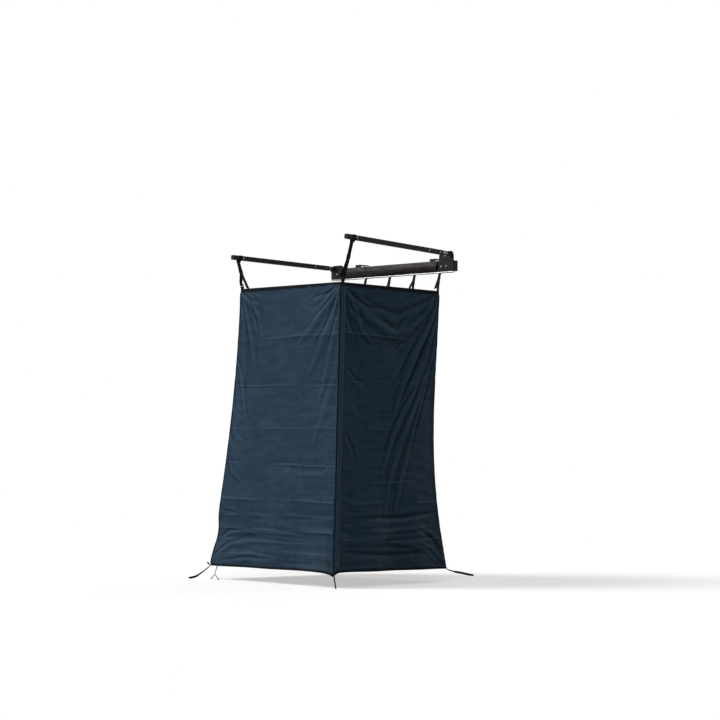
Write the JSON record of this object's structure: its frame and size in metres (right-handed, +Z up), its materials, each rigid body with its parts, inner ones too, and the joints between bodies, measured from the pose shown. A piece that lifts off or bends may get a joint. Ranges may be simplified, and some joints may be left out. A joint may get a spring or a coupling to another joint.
{
  "type": "vehicle shower tent",
  "caption": "Open-topped cloth shower room that hangs from a roof rack side rail and two swing-out arms, with adjustable hanging straps and ground ties.",
  "frame": {"origin": "centre of the rail's back face, which the roof rack's brackets press against", "axes": "+X along the rail towards the vehicle's rear, -Y away from the vehicle, +Z up"},
  "size_m": [1.4368, 1.2804, 2.2],
  "materials": {
    "dark_anodised_aluminium": "matt anodised",
    "bright_aluminium": "bare",
    "black_powder_coat": "satin powder coat",
    "black_plastic": "matt moulded",
    "zinc_steel": "zinc plated",
    "black_webbing": "woven polyester webbing",
    "navy_cloth": "coated woven polyester, matt outside",
    "black_hem_tape": "woven binding tape",
    "cover_sheet": "coated sheet, slight sheen"
  },
  "bodies": {
    "rail": {"mounting_rail": "dark_anodised_aluminium", "rail_cap_front": "black_plastic", "rail_cap_rear": "black_plastic", "track_strip": "bright_aluminium", "storage_cover": "cover_sheet", "rack_bracket_front": "black_powder_coat", "rack_bracket_rear": "black_powder_coat", "rack_bolt_front": "zinc_steel", "rack_bolt_rear": "zinc_steel", "hinge_bracket_front": "black_powder_coat", "hinge_bracket_rear": "black_powder_coat", "hinge_bolt_front_1": "zinc_steel", "hinge_bolt_front_2": "zinc_steel", "hinge_bolt_rear_1": "zinc_steel", "hinge_bolt_rear_2": "zinc_steel", "pivot_bolt_front": "zinc_steel", "pivot_bolt_rear": "zinc_steel", "rail_strap_1": "black_webbing", "rail_strap_2": "black_webbing", "rail_strap_3": "black_webbing", "rail_strap_4": "black_webbing", "rail_strap_5": "black_webbing", "outer_wall": "navy_cloth", "front_wall": "navy_cloth", "back_wall": "navy_cloth", "rear_wall": "navy_cloth", "top_hem": "black_hem_tape", "bottom_hem": "black_hem_tape", "zip_tape": "black_hem_tape", "corner_tab_front": "black_webbing", "corner_tab_rear": "black_webbing", "corner_binding_near": "black_hem_tape", "corner_binding_front": "black_hem_tape", "corner_binding_inner": "black_hem_tape", "corner_binding_rear": "black_hem_tape", "ground_tie_near": "black_webbing", "ground_tie_front": "black_webbing", "ground_tie_inner": "black_webbing", "ground_tie_rear": "black_webbing"},
    "front_arm": {"front_arm_tube": "black_powder_coat", "front_arm_tongue": "zinc_steel", "front_arm_bolt_1": "zinc_steel", "front_arm_bolt_2": "zinc_steel", "front_arm_strap_stop": "zinc_steel", "front_arm_end_cap": "black_plastic", "front_strap_loop": "black_webbing", "front_adjuster": "black_plastic", "front_drop_strap": "black_webbing", "front_ring": "zinc_steel"},
    "rear_arm": {"rear_arm_tube": "black_powder_coat", "rear_arm_tongue": "zinc_steel", "rear_arm_bolt_1": "zinc_steel", "rear_arm_bolt_2": "zinc_steel", "rear_arm_strap_stop": "zinc_steel", "rear_arm_end_cap": "black_plastic", "rear_strap_loop": "black_webbing", "rear_adjuster": "black_plastic", "rear_drop_strap": "black_webbing", "rear_ring": "zinc_steel"},
    "zip_slide": {"zip_slider": "zinc_steel"}
  },
  "joints": [
    {"name": "front_arm_swing", "type": "hinge", "parent": "rail", "child": "front_arm", "pos_m": [-0.555, -0.06, 0.04], "axis": [0, 0, 1], "range_deg": [0, 90], "deforming": ["outer_wall", "front_wall", "back_wall", "rear_wall", "top_hem", "bottom_hem", "zip_tape", "corner_tab_front", "corner_tab_rear", "corner_binding_near", "corner_binding_front", "corner_binding_inner", "corner_binding_rear", "ground_tie_near", "ground_tie_front", "ground_tie_inner", "ground_tie_rear", "front_strap_loop", "front_adjuster", "front_drop_strap", "front_ring"]},
    {"name": "rear_arm_swing", "type": "hinge", "parent": "rail", "child": "rear_arm", "pos_m": [0.555, -0.1, 0.078], "axis": [0, 0, 1], "range_deg": [-90, 0], "deforming": ["rear_strap_loop", "rear_adjuster", "rear_drop_strap", "rear_ring"]},
    {"name": "zip_travel", "type": "slide", "parent": "rail", "child": "zip_slide", "axis": [-0.0437, 0.0619, 0.9971], "range_m": [0, 1.71]}
  ],
  "couplings": [
    {"joint": "rear_arm_swing", "follows": "front_arm_swing", "ratio": -1}
  ]
}
